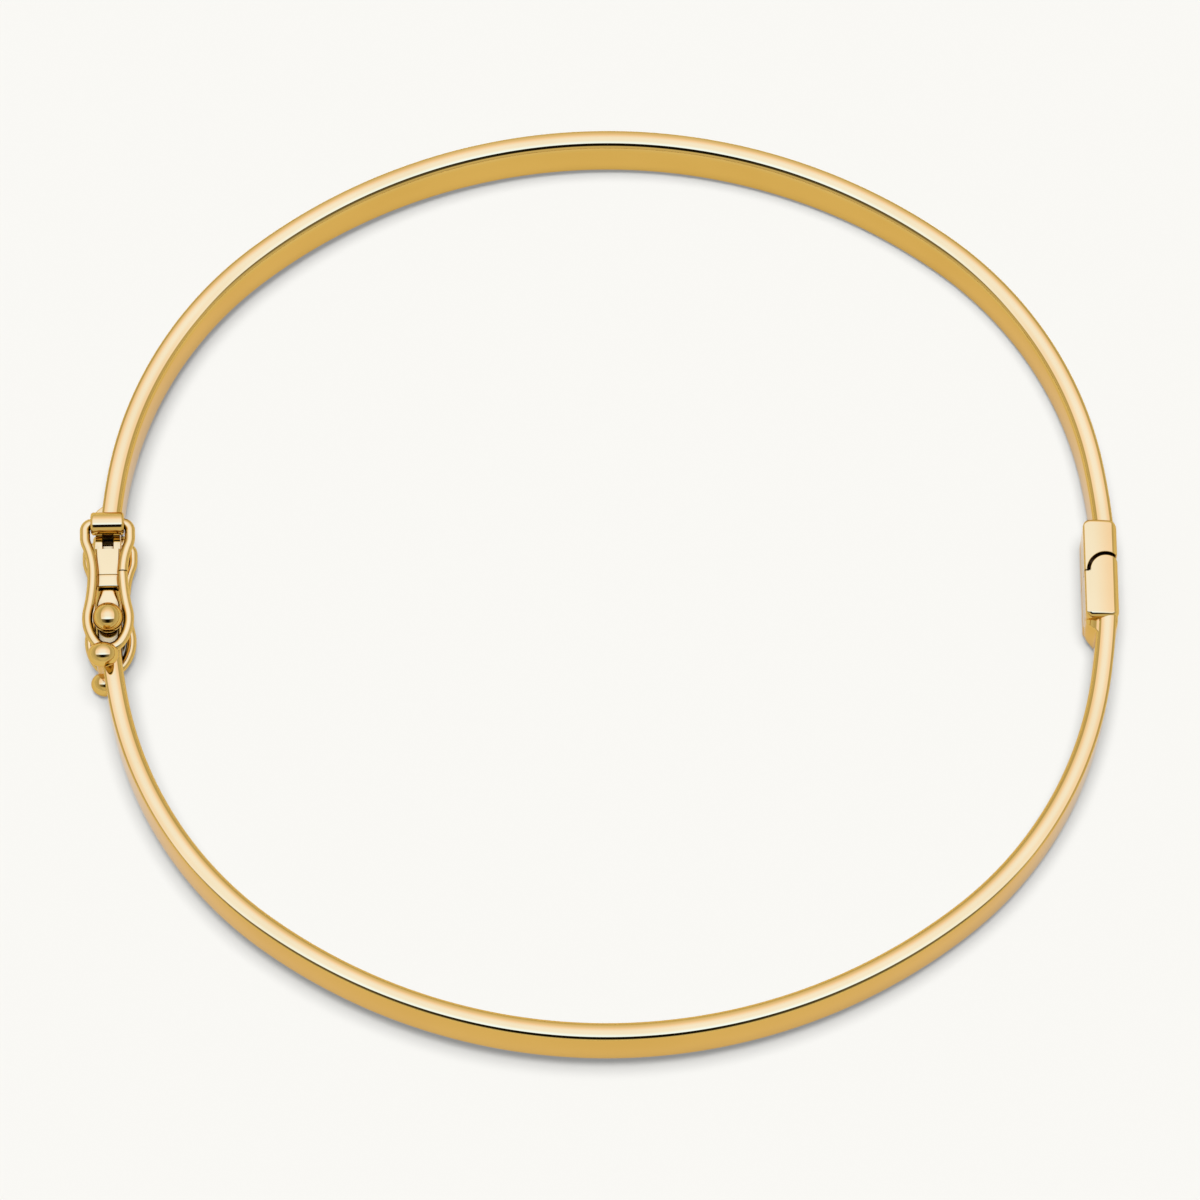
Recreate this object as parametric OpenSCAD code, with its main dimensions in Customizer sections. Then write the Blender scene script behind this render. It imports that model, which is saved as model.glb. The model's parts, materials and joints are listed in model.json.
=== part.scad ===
// Hinged oval bangle of polished yellow gold, lying on its side, closed.
// Two hollow half bands turn on a hidden pin at the right. At the left a tongue enters a box,
// and a figure-eight safety loop on each rim snaps over a ball.
// Every piece is drawn in the plane of the band, then leaned onto the surface it rests on.

/* [Band] */
// Half of the outer length of the oval, hinge to clasp
half_length = 31.4; // [29:0.1:34]
// Width of the band, along the wrist
band_width = 4.5; // [4:0.1:6]
// Thickness of the band, from wrist side to outside
band_thickness = 1.25; // [1.15:0.05:1.6]
// Metal of the hollow band's wall
wall = 0.3; // [0.25:0.05:0.35]
// Rounding of the band's long edges
edge_radius = 0.3; // [0.2:0.05:0.35]
// Outer radius of the flat arc at hinge and clasp
side_radius = 41; // [36:1:50]
// Direction at which the side arc ends, in degrees from the hinge line
side_end = 10; // [8:0.5:12]
// Outer radius of the four corner arcs
corner_radius = 24; // [22:0.5:26]
// Direction at which the corner arc ends, in degrees from the hinge line
corner_end = 52.5; // [48:0.5:58]

/* [Clasp] */
// Thickness of the two clasp ends
clasp_thickness = 1.56; // [1.5:0.02:1.7]
// How far a clasp end lies below the band's rim
clasp_drop = 0.15; // [0.1:0.05:0.25]
// Length of the box end, from the joint
box_length = 4.95; // [4.8:0.05:5.4]
// Length of the tongue end, from the joint
tongue_end_length = 4.4; // [4.3:0.1:4.8]
// Gap between the two ends at the joint
joint_gap = 0.12; // [0.06:0.02:0.2]
// Size of the tongue across the band's thickness
tongue_thickness = 0.6; // [0.5:0.05:0.7]
// Size of the tongue along the band's width
tongue_width = 2.6; // [2:0.1:2.8]
// How far the tongue reaches into the box
tongue_reach = 2; // [1.5:0.1:2.1]
// Running clearance round the tongue in the box
tongue_clearance = 0.15; // [0.1:0.01:0.18]

/* [Safety loops] */
// Diameter of the loop's wire
wire_d = 0.64; // [0.56:0.02:0.66]
// Distance of the pivot from the joint
pivot_y = 4.06; // [4:0.02:4.2]
// Half the spread of the loop beside the barrel
shoulder_half = 1.38; // [1.36:0.01:1.45]
// Half the spread of the loop at its waist
waist_half = 0.93; // [0.9:0.01:1]
// Distance of the waist from the pivot
waist_y = 3.2; // [3:0.05:3.4]
// Half the spread of the loop round the ball
lobe_half = 1.28; // [1.26:0.01:1.34]
// Distance from the pivot to the tip of the wire
tip_y = 8; // [7.9:0.05:8.2]
// Diameter of the finger bead
bead_d = 1.7; // [1.5:0.05:1.75]
// Distance of the bead from the pivot
bead_y = 8.49; // [8.4:0.01:8.6]
// Diameter of the barrel that carries the wire
barrel_d = 1.42; // [1.36:0.02:1.46]
// Length of the barrel
barrel_length = 2; // [1.9:0.02:2.02]
// Radial clearance of the wire in the barrel
wire_clearance = 0.05; // [0.03:0.01:0.08]
// Diameter of the ball that the loop snaps over
ball_d = 1.8; // [1.6:0.02:1.82]

/* [Hinge] */
// How far the hinge block's wrist side lies from the pin
block_inside = 1.4; // [1.3:0.02:1.5]
// How far the hinge block's outside lies from the pin
block_outside = 0.68; // [0.64:0.02:0.76]
// Length of the box half's block, from the pin
upper_block = 3.3; // [3:0.1:3.8]
// Length of the tongue half's block, from the pin
lower_block = 2.85; // [2.5:0.05:3.4]
// How far the block stands above the band's rim
block_step = 0.25; // [0.1:0.05:0.3]
// Length of the shoulder from the tongue half's block to the band
shoulder_length = 1.1; // [0.8:0.1:1.4]
// Radius of the round knuckles
knuckle_r = 0.97; // [0.9:0.01:1]
// Gap between a knuckle and its socket
knuckle_gap = 0.15; // [0.1:0.01:0.16]
// Height of the middle knuckle
middle_knuckle = 1.5; // [1.3:0.1:1.9]
// Diameter of the hinge pin
pin_d = 0.8; // [0.7:0.05:0.9]
// Radial clearance of the pin
pin_clearance = 0.03; // [0.02:0.01:0.05]

/* [Hidden] */
$fn = 96;
gold = "#D9A441";
over = 1;
// Every other stretch of the band and of the wire is this much slimmer, and enters its
// neighbours by this turn in degrees
band_slim = 0.005;
band_turn = 1;
wire_slim = 0.02;
wire_turn = 4;

// Oval of three tangent arcs in each quarter
side_x = half_length - side_radius;
corner_x = side_x + (side_radius - corner_radius) * cos(side_end);
corner_y = (side_radius - corner_radius) * sin(side_end);
long_radius = corner_radius + corner_x / cos(corner_end);
long_y = corner_y - (long_radius - corner_radius) * sin(corner_end);

// Heights are measured from the band's middle plane
rim_z = band_width / 2;
clasp_z = rim_z - clasp_drop;
clasp_x = -(half_length - band_thickness / 2) + 0.05;
clasp_edge = 0.25;
slot_floor = 0.2;
slot_fit = 0.03;
tongue_root = 1.4;

// Trough behind the plate of the box end, seen between barrel and plate
trough_from = 2.58;
trough_to = 3.5;
trough_z = 1.75;
keyhole_w = 0.62;
keyhole_z = 1.6;

// Safety loop
wire_r = wire_d / 2;
loop_z = clasp_z + wire_r + 0.04;
bend_r = 0.45;
bead_z = rim_z + bead_d / 2 + 0.05 - loop_z;
bead_x = -0.2;
barrel_round = 0.18;
ball_y = -2.05;
ball_z = clasp_z + 0.55;
shoulder_r = 1.2;
shoulder_y = 0.9;
tip_r = 0.95;
lobe_y = pivot_y - ball_y;
tip_drop = tip_y - tip_r - lobe_y;
// The lobe's side arc touches the tip arc from outside
lobe_r = (lobe_half * lobe_half + tip_drop * tip_drop - tip_r * tip_r) / (2 * (lobe_half - tip_r));
lobe_x = lobe_half - lobe_r;
tip_turn = atan(tip_drop / -lobe_x);
// Waist arcs touch the lobe's side arc below and the shoulder arc above
waist_low_r = waist_radius(lobe_half, lobe_r, lobe_y - waist_y);
waist_high_r = waist_radius(shoulder_half, shoulder_r, waist_y - shoulder_y);

// Hinge
pin_x = half_length + 0.05 - block_outside;
block_z = rim_z + block_step;
block_edge = 0.3;
layer_gap = 0.06;
pin_cap = 0.3;
socket_r = knuckle_r + knuckle_gap;
stop_gap = 0.05;
shoulder_drop = 0.1;
shoulder_inset = 0.02;

// The bangle rests on three points: the bead of the lower loop, a corner of the hinge block,
// and the rim at this turn from the hinge line
rest_turn = 49;
rim_reach = corner_radius - edge_radius;
bead_low = [clasp_x + bead_x, pivot_y - bead_y, -loop_z - bead_z - bead_d / 2];
block_low = [pin_x + block_outside - block_edge, upper_block, -block_z];
rim_low = [corner_x + rim_reach * cos(rest_turn), corner_y + rim_reach * sin(rest_turn), -rim_z];
normal = cross(block_low - bead_low, rim_low - bead_low);
up = normal / norm(normal);
lean = acos(up[2]);
lift = -up * bead_low;
centre_x = (shoulder_half + wire_r - clasp_x - half_length - 0.05) / 2;

// Radius of a waist arc: its centre lies level with the waist, and the centres lie as far
// apart as the radii together
function waist_radius(half, r, step) =
    (pow(waist_half - half + r, 2) + step * step - r * r) / (2 * (half - waist_half));

// Lays a piece down as the closed bangle rests by itself
module at_rest() {
    translate([centre_x, 0, lift]) rotate(a = lean, v = [up[1], -up[0], 0]) children();
}

module rounded(size, r) {
    square([size[0] - 2 * r, size[1]], center = true);
    square([size[0], size[1] - 2 * r], center = true);
    for (sx = [-1, 1], sy = [-1, 1])
        translate([sx * (size[0] / 2 - r), sy * (size[1] / 2 - r)]) circle(r);
}

// Hollow section of the band, slimmer by the given amount all round its metal
module band_section(slim) {
    hollow = [band_thickness - 2 * wall + 2 * slim, band_width - 2 * wall + 2 * slim];
    difference() {
        rounded([band_thickness - 2 * slim, band_width - 2 * slim], edge_radius - slim);
        square(hollow, center = true);
    }
}

module band_arc(centre, outer_r, from, to, slim = 0) {
    extra = slim > 0 ? band_turn : 0;
    translate(centre) rotate(from - extra) rotate_extrude(angle = to - from + 2 * extra)
        translate([outer_r - band_thickness / 2, 0]) band_section(slim);
}

// Half of the oval above the hinge line, from one block to the other
module half_band(hinge_start, clasp_start) {
    band_arc([side_x, 0, 0], side_radius, asin(hinge_start / side_radius), side_end);
    band_arc([corner_x, corner_y, 0], corner_radius, side_end, corner_end, band_slim);
    band_arc([0, long_y, 0], long_radius, corner_end, 180 - corner_end);
    band_arc([-corner_x, corner_y, 0], corner_radius, 180 - corner_end, 180 - side_end, band_slim);
    band_arc([-side_x, 0, 0], side_radius, 180 - side_end, 180 - asin(clasp_start / side_radius));
}

// Bar along the band with its long edges rounded
module bar(x_low, x_high, y_low, y_high, half_z, r) {
    translate([(x_low + x_high) / 2, y_high, 0]) rotate([90, 0, 0])
        linear_extrude(y_high - y_low) rounded([x_high - x_low, 2 * half_z], r);
}

module clasp_bar(y_low, y_high) {
    bar(clasp_x - clasp_thickness / 2, clasp_x + clasp_thickness / 2, y_low, y_high, clasp_z, clasp_edge);
}

module hinge_bar(y_low, y_high) {
    bar(pin_x - block_inside, pin_x + block_outside, y_low, y_high, block_z, block_edge);
}

module barrel() {
    rotate([0, 90, 0]) rotate_extrude() difference() {
        union() {
            translate([0, -barrel_length / 2 + barrel_round])
                square([barrel_d / 2, barrel_length - 2 * barrel_round]);
            translate([0, -barrel_length / 2]) square([barrel_d / 2 - barrel_round, barrel_length]);
            for (s = [-1, 1])
                translate([barrel_d / 2 - barrel_round, s * (barrel_length / 2 - barrel_round)])
                    circle(barrel_round);
        }
        translate([0, -barrel_length]) square([wire_r + wire_clearance, 2 * barrel_length]);
    }
}

// Clasp end with the box for the tongue, a trough and a barrel on each rim
module box_end() {
    slot_t = tongue_thickness + 2 * tongue_clearance;
    slot_w = tongue_width + 2 * tongue_clearance;
    difference() {
        clasp_bar(joint_gap / 2, box_length);
        translate([clasp_x - slot_t / 2, -over, -slot_w / 2])
            cube([slot_t, over + tongue_reach + slot_floor, slot_w]);
        for (s = [0, 1]) mirror([0, 0, s]) {
            translate([clasp_x - clasp_thickness, trough_from, trough_z])
                cube([2 * clasp_thickness, trough_to - trough_from, over]);
            translate([clasp_x - keyhole_w / 2, trough_from, keyhole_z])
                cube([keyhole_w, trough_to - trough_from, over]);
            translate([clasp_x - over, pivot_y, loop_z]) rotate([0, 90, 0])
                cylinder(r = wire_r + wire_clearance, h = 2 * over);
        }
    }
    for (s = [-1, 1]) translate([clasp_x, pivot_y, s * loop_z]) barrel();
}

// Clasp end that holds the tongue, with a ball on each rim
module tongue_end() {
    difference() {
        clasp_bar(-tongue_end_length, -joint_gap / 2);
        translate([clasp_x, 0, 0]) cube([
            tongue_thickness + 2 * slot_fit,
            2 * (tongue_root + slot_fit),
            tongue_width + 2 * slot_fit
        ], center = true);
    }
    for (s = [-1, 1]) translate([clasp_x, ball_y, s * ball_z]) sphere(d = ball_d);
}

module pin_layer(r, z_low, z_high) {
    translate([pin_x, 0, z_low]) cylinder(r = r, h = z_high - z_low);
}

// Hinge block of the box half: middle knuckle, and sockets for the two lugs
module upper_hinge() {
    difference() {
        union() {
            hinge_bar(stop_gap, upper_block);
            intersection() {
                hinge_bar(-knuckle_r, upper_block);
                pin_layer(knuckle_r, -middle_knuckle / 2, middle_knuckle / 2);
            }
        }
        for (s = [0, 1]) mirror([0, 0, s]) pin_layer(socket_r, middle_knuckle / 2, block_z + over);
        pin_layer(pin_d / 2 + pin_clearance, -rim_z, rim_z);
    }
}

// Hinge block of the tongue half: two lugs, and a socket for the middle knuckle
module lower_hinge() {
    socket_z = middle_knuckle / 2 + layer_gap;
    difference() {
        union() {
            hinge_bar(-lower_block, 0);
            intersection() {
                hinge_bar(-lower_block, knuckle_r);
                pin_layer(knuckle_r, -block_z, block_z);
            }
        }
        pin_layer(socket_r, -socket_z, socket_z);
        pin_layer(pin_d / 2 + pin_clearance, pin_cap - block_z, block_z - pin_cap);
    }
}

// Solid shoulder that narrows from the block's sides to the band's
module shoulder() {
    slope = shoulder_length / 4;
    band_in = half_length - band_thickness + band_sag(lower_block + shoulder_length);
    band_out = half_length + band_sag(lower_block + shoulder_length);
    translate([0, 0, -rim_z + shoulder_drop]) linear_extrude(2 * (rim_z - shoulder_drop)) polygon([
        [pin_x - block_inside + shoulder_inset, -lower_block + over / 2],
        [pin_x + block_outside - shoulder_inset, -lower_block + over / 2],
        [pin_x + block_outside - shoulder_inset, -lower_block - slope],
        [band_out - shoulder_inset, -lower_block - shoulder_length],
        [band_in + shoulder_inset, -lower_block - shoulder_length],
        [pin_x - block_inside + shoulder_inset, -lower_block - slope]
    ]);
}

// How far the side arc has curved in at a distance from the hinge line
function band_sag(y) = sqrt(side_radius * side_radius - y * y) - side_radius;

module upper_half() color(gold) at_rest() {
    half_band(upper_block, box_length);
    box_end();
    upper_hinge();
}

module lower_half() color(gold) at_rest() {
    mirror([0, 1, 0]) half_band(lower_block, tongue_end_length);
    tongue_end();
    lower_hinge();
    shoulder();
}

module hinge_pin() color(gold) at_rest() {
    end_z = block_z - pin_cap - pin_clearance;
    pin_layer(pin_d / 2, -end_z, end_z);
}

module clasp_tongue() color(gold) at_rest() {
    translate([clasp_x - tongue_thickness / 2, -tongue_root, -tongue_width / 2])
        cube([tongue_thickness, tongue_root + tongue_reach, tongue_width]);
}

module wire_arc(centre, r, from, to, slim = 0) {
    extra = slim > 0 ? wire_turn : 0;
    translate(centre) rotate(from - extra) rotate_extrude(angle = to - from + 2 * extra)
        translate([r, 0]) circle(wire_r - slim);
}

// Right strand of the loop, from the barrel to the tip, drawn from the pivot
module strand() {
    waist_high_x = waist_half + waist_high_r;
    waist_low_x = waist_half + waist_low_r;
    shoulder_x = shoulder_half - shoulder_r;
    high_turn = atan((waist_y - shoulder_y) / (waist_high_x - shoulder_x));
    low_turn = atan((lobe_y - waist_y) / (waist_low_x - lobe_x));
    wire_arc([shoulder_half - bend_r, -bend_r, 0], bend_r, 0, 90, wire_slim);
    translate([shoulder_half, -shoulder_y, 0]) rotate([-90, 0, 0])
        cylinder(r = wire_r, h = shoulder_y - bend_r);
    wire_arc([shoulder_x, -shoulder_y, 0], shoulder_r, -high_turn, 0, wire_slim);
    wire_arc([waist_high_x, -waist_y, 0], waist_high_r, 180 - high_turn, 180);
    wire_arc([waist_low_x, -waist_y, 0], waist_low_r, 180, 180 + low_turn, wire_slim);
    wire_arc([lobe_x, -lobe_y, 0], lobe_r, -tip_turn, low_turn);
}

module safety_loop() {
    translate([clasp_x, pivot_y, loop_z]) {
        translate([bend_r - shoulder_half, 0, 0]) rotate([0, 90, 0])
            cylinder(r = wire_r, h = 2 * (shoulder_half - bend_r));
        for (s = [0, 1]) mirror([s, 0, 0]) strand();
        wire_arc([0, tip_r - tip_y, 0], tip_r, tip_turn - 180, -tip_turn, wire_slim);
        translate([bead_x, -bead_y, bead_z]) sphere(d = bead_d);
    }
}

module safety_loop_top() color(gold) at_rest() safety_loop();

module safety_loop_bottom() color(gold) at_rest() mirror([0, 0, 1]) safety_loop();

upper_half();
lower_half();
hinge_pin();
clasp_tongue();
safety_loop_top();
safety_loop_bottom();
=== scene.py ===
"""Hinged oval bangle of polished yellow gold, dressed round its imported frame.

Shapes are worked out in millimetres in the plane of the band: +X points to the hinge, +Y to the
half that carries the box of the clasp, and +Z through the wrist. The whole is then laid down as
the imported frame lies.
"""
import json
import logging
import math
from dataclasses import dataclass
from dataclasses import field
from enum import Enum
from typing import Any
from typing import Mapping
from typing import Sequence

import bpy
import numpy as np
from mathutils import Matrix
from mathutils import Vector


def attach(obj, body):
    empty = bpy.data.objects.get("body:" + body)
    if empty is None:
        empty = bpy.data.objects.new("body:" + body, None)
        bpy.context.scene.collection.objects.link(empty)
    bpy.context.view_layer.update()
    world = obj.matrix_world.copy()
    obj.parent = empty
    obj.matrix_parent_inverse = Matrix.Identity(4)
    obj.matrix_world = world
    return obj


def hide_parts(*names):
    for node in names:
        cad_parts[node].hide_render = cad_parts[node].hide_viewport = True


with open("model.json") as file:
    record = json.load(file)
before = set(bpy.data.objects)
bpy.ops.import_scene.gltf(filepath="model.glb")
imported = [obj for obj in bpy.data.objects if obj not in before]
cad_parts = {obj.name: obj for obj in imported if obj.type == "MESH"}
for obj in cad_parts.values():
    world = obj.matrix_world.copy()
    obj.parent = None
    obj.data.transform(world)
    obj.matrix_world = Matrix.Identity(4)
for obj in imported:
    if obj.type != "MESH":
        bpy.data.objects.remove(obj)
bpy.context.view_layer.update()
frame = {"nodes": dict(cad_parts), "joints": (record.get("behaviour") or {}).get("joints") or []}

LOG = logging.getLogger("bangle")
MM = 0.001
EDGE_TINT = (0.91, 0.72, 0.48)
# Painted shade: near-black base colour that ambient occlusion mixes into narrow recesses.
PAINTED_SHADE_COLOUR = (0.03, 0.016, 0.006)
MIX_INPUTS = (0, 6, 7)
MIX_OUTPUT = 2
AXIS_Y = 1
AXIS_Z = 2


class Half(Enum):
    """The two halves of the bangle, by the side of the hinge line that they lie on."""

    UPPER = 1
    LOWER = -1

    @property
    def body(self) -> str:
        """Name of the half's body and main node in the frame."""
        return "upper_half" if self is Half.UPPER else "lower_half"


class Rim(Enum):
    """The two rims of the bangle, by their direction along the wrist."""

    TOP = 1
    BOTTOM = -1

    @property
    def loop(self) -> str:
        """Name of the body and node of the safety loop on this rim."""
        return "safety_loop_top" if self is Rim.TOP else "safety_loop_bottom"


class Joint(Enum):
    """How a hinge layer meets the pin: a round knuckle, or a hollow socket round one."""

    KNUCKLE = "knuckle"
    SOCKET = "socket"


# Shader maths


class Socket:
    """A node's output, on which Python's operators add Math nodes."""

    def __init__(self, tree: bpy.types.NodeTree, link: bpy.types.NodeSocket) -> None:
        """Wraps one output socket.

        Args:
            tree: The node tree that holds the socket.
            link: The output socket.
        """
        self.tree = tree
        self.link = link

    def math(self, operation: str, *others: "Socket | float") -> "Socket":
        """Adds a Math node.

        Args:
            operation: The node's operation.
            others: Its further inputs, as sockets or numbers.

        Returns:
            The node's output.
        """
        inputs = dict(enumerate((self, *others)))
        return Shader(self.tree).node("ShaderNodeMath", {"operation": operation}, inputs)

    def __add__(self, other: "Socket | float") -> "Socket":
        """Sum of two values."""
        return self.math("ADD", other)

    def __sub__(self, other: "Socket | float") -> "Socket":
        """Difference of two values."""
        return self.math("SUBTRACT", other)

    def __rsub__(self, other: float) -> "Socket":
        """Difference of a number and this value."""
        return self.math("MULTIPLY_ADD", -1.0, other)

    def __mul__(self, other: "Socket | float") -> "Socket":
        """Product of two values."""
        return self.math("MULTIPLY", other)

    __radd__ = __add__
    __rmul__ = __mul__

    def ramp(self, low: float, high: float) -> "Socket":
        """Smooth step from 0 at low to 1 at high, or back where low is the larger.

        Args:
            low: Value at which the step is 0.
            high: Value at which it is 1.

        Returns:
            The stepped value.
        """
        settings = {"interpolation_type": "SMOOTHSTEP"}
        inputs = {"Value": self, "From Min": low, "From Max": high, "To Min": 0.0, "To Max": 1.0}
        return Shader(self.tree).node("ShaderNodeMapRange", settings, inputs, "Result")


class Shader:
    """Adds nodes of any type to one tree."""

    def __init__(self, tree: bpy.types.NodeTree) -> None:
        """Holds the tree that nodes are added to."""
        self.tree = tree

    @classmethod
    def cleared(cls, owner: bpy.types.ID) -> "Shader":
        """A shader on the emptied node tree of a material or world."""
        owner.use_nodes = True
        owner.node_tree.nodes.clear()
        return cls(owner.node_tree)

    def node(
        self,
        kind: str,
        settings: Mapping[str, Any] | None = None,
        inputs: Mapping[Any, Any] | None = None,
        output: str | int = 0,
    ) -> Socket:
        """Adds one node, sets it, and fills or links its sockets.

        Args:
            kind: The node's type.
            settings: Properties of the node, set before its sockets.
            inputs: Values or Socket objects by input name or number.
            output: Name or number of the output that is returned.

        Returns:
            The chosen output.
        """
        made = self.tree.nodes.new(kind)
        for name, value in (settings or {}).items():
            setattr(made, name, value)
        for place, value in (inputs or {}).items():
            if isinstance(value, Socket):
                self.tree.links.new(value.link, made.inputs[place])
            else:
                made.inputs[place].default_value = value
        return Socket(self.tree, made.outputs[output] if made.outputs else None)


@dataclass(frozen=True)
class Gold:
    """A finish of yellow gold, polished or left as cut."""

    name: str
    colour: tuple[float, float, float]
    deep_colour: tuple[float, float, float]
    roughness: float
    roughness_spread: float
    ripple_mm: float
    # Reach, rays and ramp of the ambient occlusion that paints shade into recesses.
    shade_reach_mm: float = 0.8
    shade_rays: int = 8
    shade_ramp: tuple[float, float] = (0.6, 0.2)
    drift_ramp: tuple[float, float] = (0.3, 0.7)
    drift_noise: tuple[float, float] = (160.0, 2.0)
    patch_noise: tuple[float, float] = (900.0, 4.0)
    ripple_noise: tuple[float, float] = (420.0, 1.0)

    def material(self) -> bpy.types.Material:
        """Builds the material, or returns it if it is built.

        The alloy's tone drifts a little over a few millimetres, the polish leaves patches that
        are less sharp, and the surface ripples by a few thousandths of a millimetre. Shade is
        painted into narrow recesses: where ambient occlusion finds little open sky, the base
        colour turns nearly black.

        Returns:
            The Blender material.
        """
        if self.name in bpy.data.materials:
            return bpy.data.materials[self.name]
        made = bpy.data.materials.new(self.name)
        shader = Shader.cleared(made)
        place = shader.node("ShaderNodeTexCoord", output="Object")
        drift = self.noise(shader, place, *self.drift_noise)
        patches = self.noise(shader, place, *self.patch_noise)
        ripple = self.noise(shader, place, *self.ripple_noise)
        tone = self.mixed(shader, drift.ramp(*self.drift_ramp), self.colour, self.deep_colour)
        settings = {"samples": self.shade_rays}
        inputs = {"Distance": self.shade_reach_mm * MM}
        open_sky = shader.node("ShaderNodeAmbientOcclusion", settings, inputs, "AO")
        # Painted shade: the base colour turns near black where ambient occlusion finds a recess.
        tone = self.mixed(shader, open_sky.ramp(*self.shade_ramp), tone, PAINTED_SHADE_COLOUR)
        rough = (patches - 0.5) * self.roughness_spread + self.roughness
        inputs = {"Height": ripple, "Distance": self.ripple_mm * MM, "Strength": 1.0}
        bump = shader.node("ShaderNodeBump", {}, inputs)
        surface = shader.node(
            "ShaderNodeBsdfPrincipled",
            {},
            {
                "Base Color": tone,
                "Roughness": rough,
                "Metallic": 1.0,
                "Specular Tint": (*EDGE_TINT, 1.0),
                "Normal": bump,
            },
        )
        shader.node("ShaderNodeOutputMaterial", {}, {"Surface": surface})
        return made

    @staticmethod
    def mixed(shader: Shader, share: Socket, low: Any, high: Any) -> Socket:
        """Mix of two colours, by a share.

        Args:
            shader: Where the node goes.
            share: 0 for the first colour, 1 for the second.
            low: The first colour, as a socket or as red, green and blue.
            high: The second colour.

        Returns:
            The mixed colour.
        """
        first, second = (part if isinstance(part, Socket) else (*part, 1.0) for part in (low, high))
        inputs = dict(zip(MIX_INPUTS, (share, first, second)))
        return shader.node("ShaderNodeMix", {"data_type": "RGBA"}, inputs, MIX_OUTPUT)

    @staticmethod
    def noise(shader: Shader, place: Socket, scale: float, detail: float) -> Socket:
        """Soft noise over the piece, between 0 and 1.

        Args:
            shader: Where the node goes.
            place: Coordinates in metres.
            scale: Patches per metre.
            detail: Number of finer layers.

        Returns:
            The noise value.
        """
        inputs = {"Vector": place, "Scale": scale, "Detail": detail}
        return shader.node("ShaderNodeTexNoise", {}, inputs, "Fac")


POLISHED = Gold("mirror_gold", (0.705, 0.468, 0.128), (0.68, 0.444, 0.116), 0.035, 0.03, 0.0012)
SATIN = Gold("satin_gold", (0.7, 0.42, 0.1), (0.64, 0.37, 0.085), 0.22, 0.1, 0.004)


# Shapes


def unit(vector: Sequence[float]) -> np.ndarray:
    """A vector of length 1 in the same direction."""
    array = np.asarray(vector, float)
    return array / np.linalg.norm(array)


def spread(*stops: tuple[float, int]) -> np.ndarray:
    """Values from stop to stop, each stretch in its own number of even steps.

    Args:
        stops: Pairs of a value and the number of steps that lead to it from the one before.

    Returns:
        All the values, the first stop's included.
    """
    values = [np.array([stops[0][0]])]
    for (low, _), (high, steps) in zip(stops, stops[1:]):
        values.append(low + (high - low) * np.arange(1, steps + 1) / steps)
    return np.concatenate(values)


def smooth(value: np.ndarray | float, low: float, high: float) -> np.ndarray:
    """Smooth step: 0 up to low, 1 from high, 3t² - 2t³ between them."""
    t = np.clip((np.asarray(value, float) - low) / (high - low), 0.0, 1.0)
    return t * t * (3 - 2 * t)


def circle(turns: np.ndarray) -> np.ndarray:
    """Points of a circle of radius 1, one row a turn."""
    return np.column_stack([np.cos(turns), np.sin(turns)])


def quarter_turn(count: int) -> np.ndarray:
    """Turns from 0 to a right angle, evenly apart."""
    return np.linspace(0, math.pi / 2, count)


def slowed(count: int) -> np.ndarray:
    """Values (1 - cos t) / 2 from 0 to 1, which lie closer together towards both ends."""
    return 0.5 - 0.5 * np.cos(np.linspace(0, math.pi, count))


def run_along(line: np.ndarray) -> np.ndarray:
    """Distance of each of a line's points from its first, along the line."""
    return np.concatenate([[0], np.cumsum(np.linalg.norm(np.diff(line, axis=0), axis=1))])


def at_runs(line: np.ndarray, at: np.ndarray) -> np.ndarray:
    """Points of a flat line at distances along it."""
    run = run_along(line)
    return np.column_stack([np.interp(at, run, line[:, axis]) for axis in range(2)])


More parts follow.
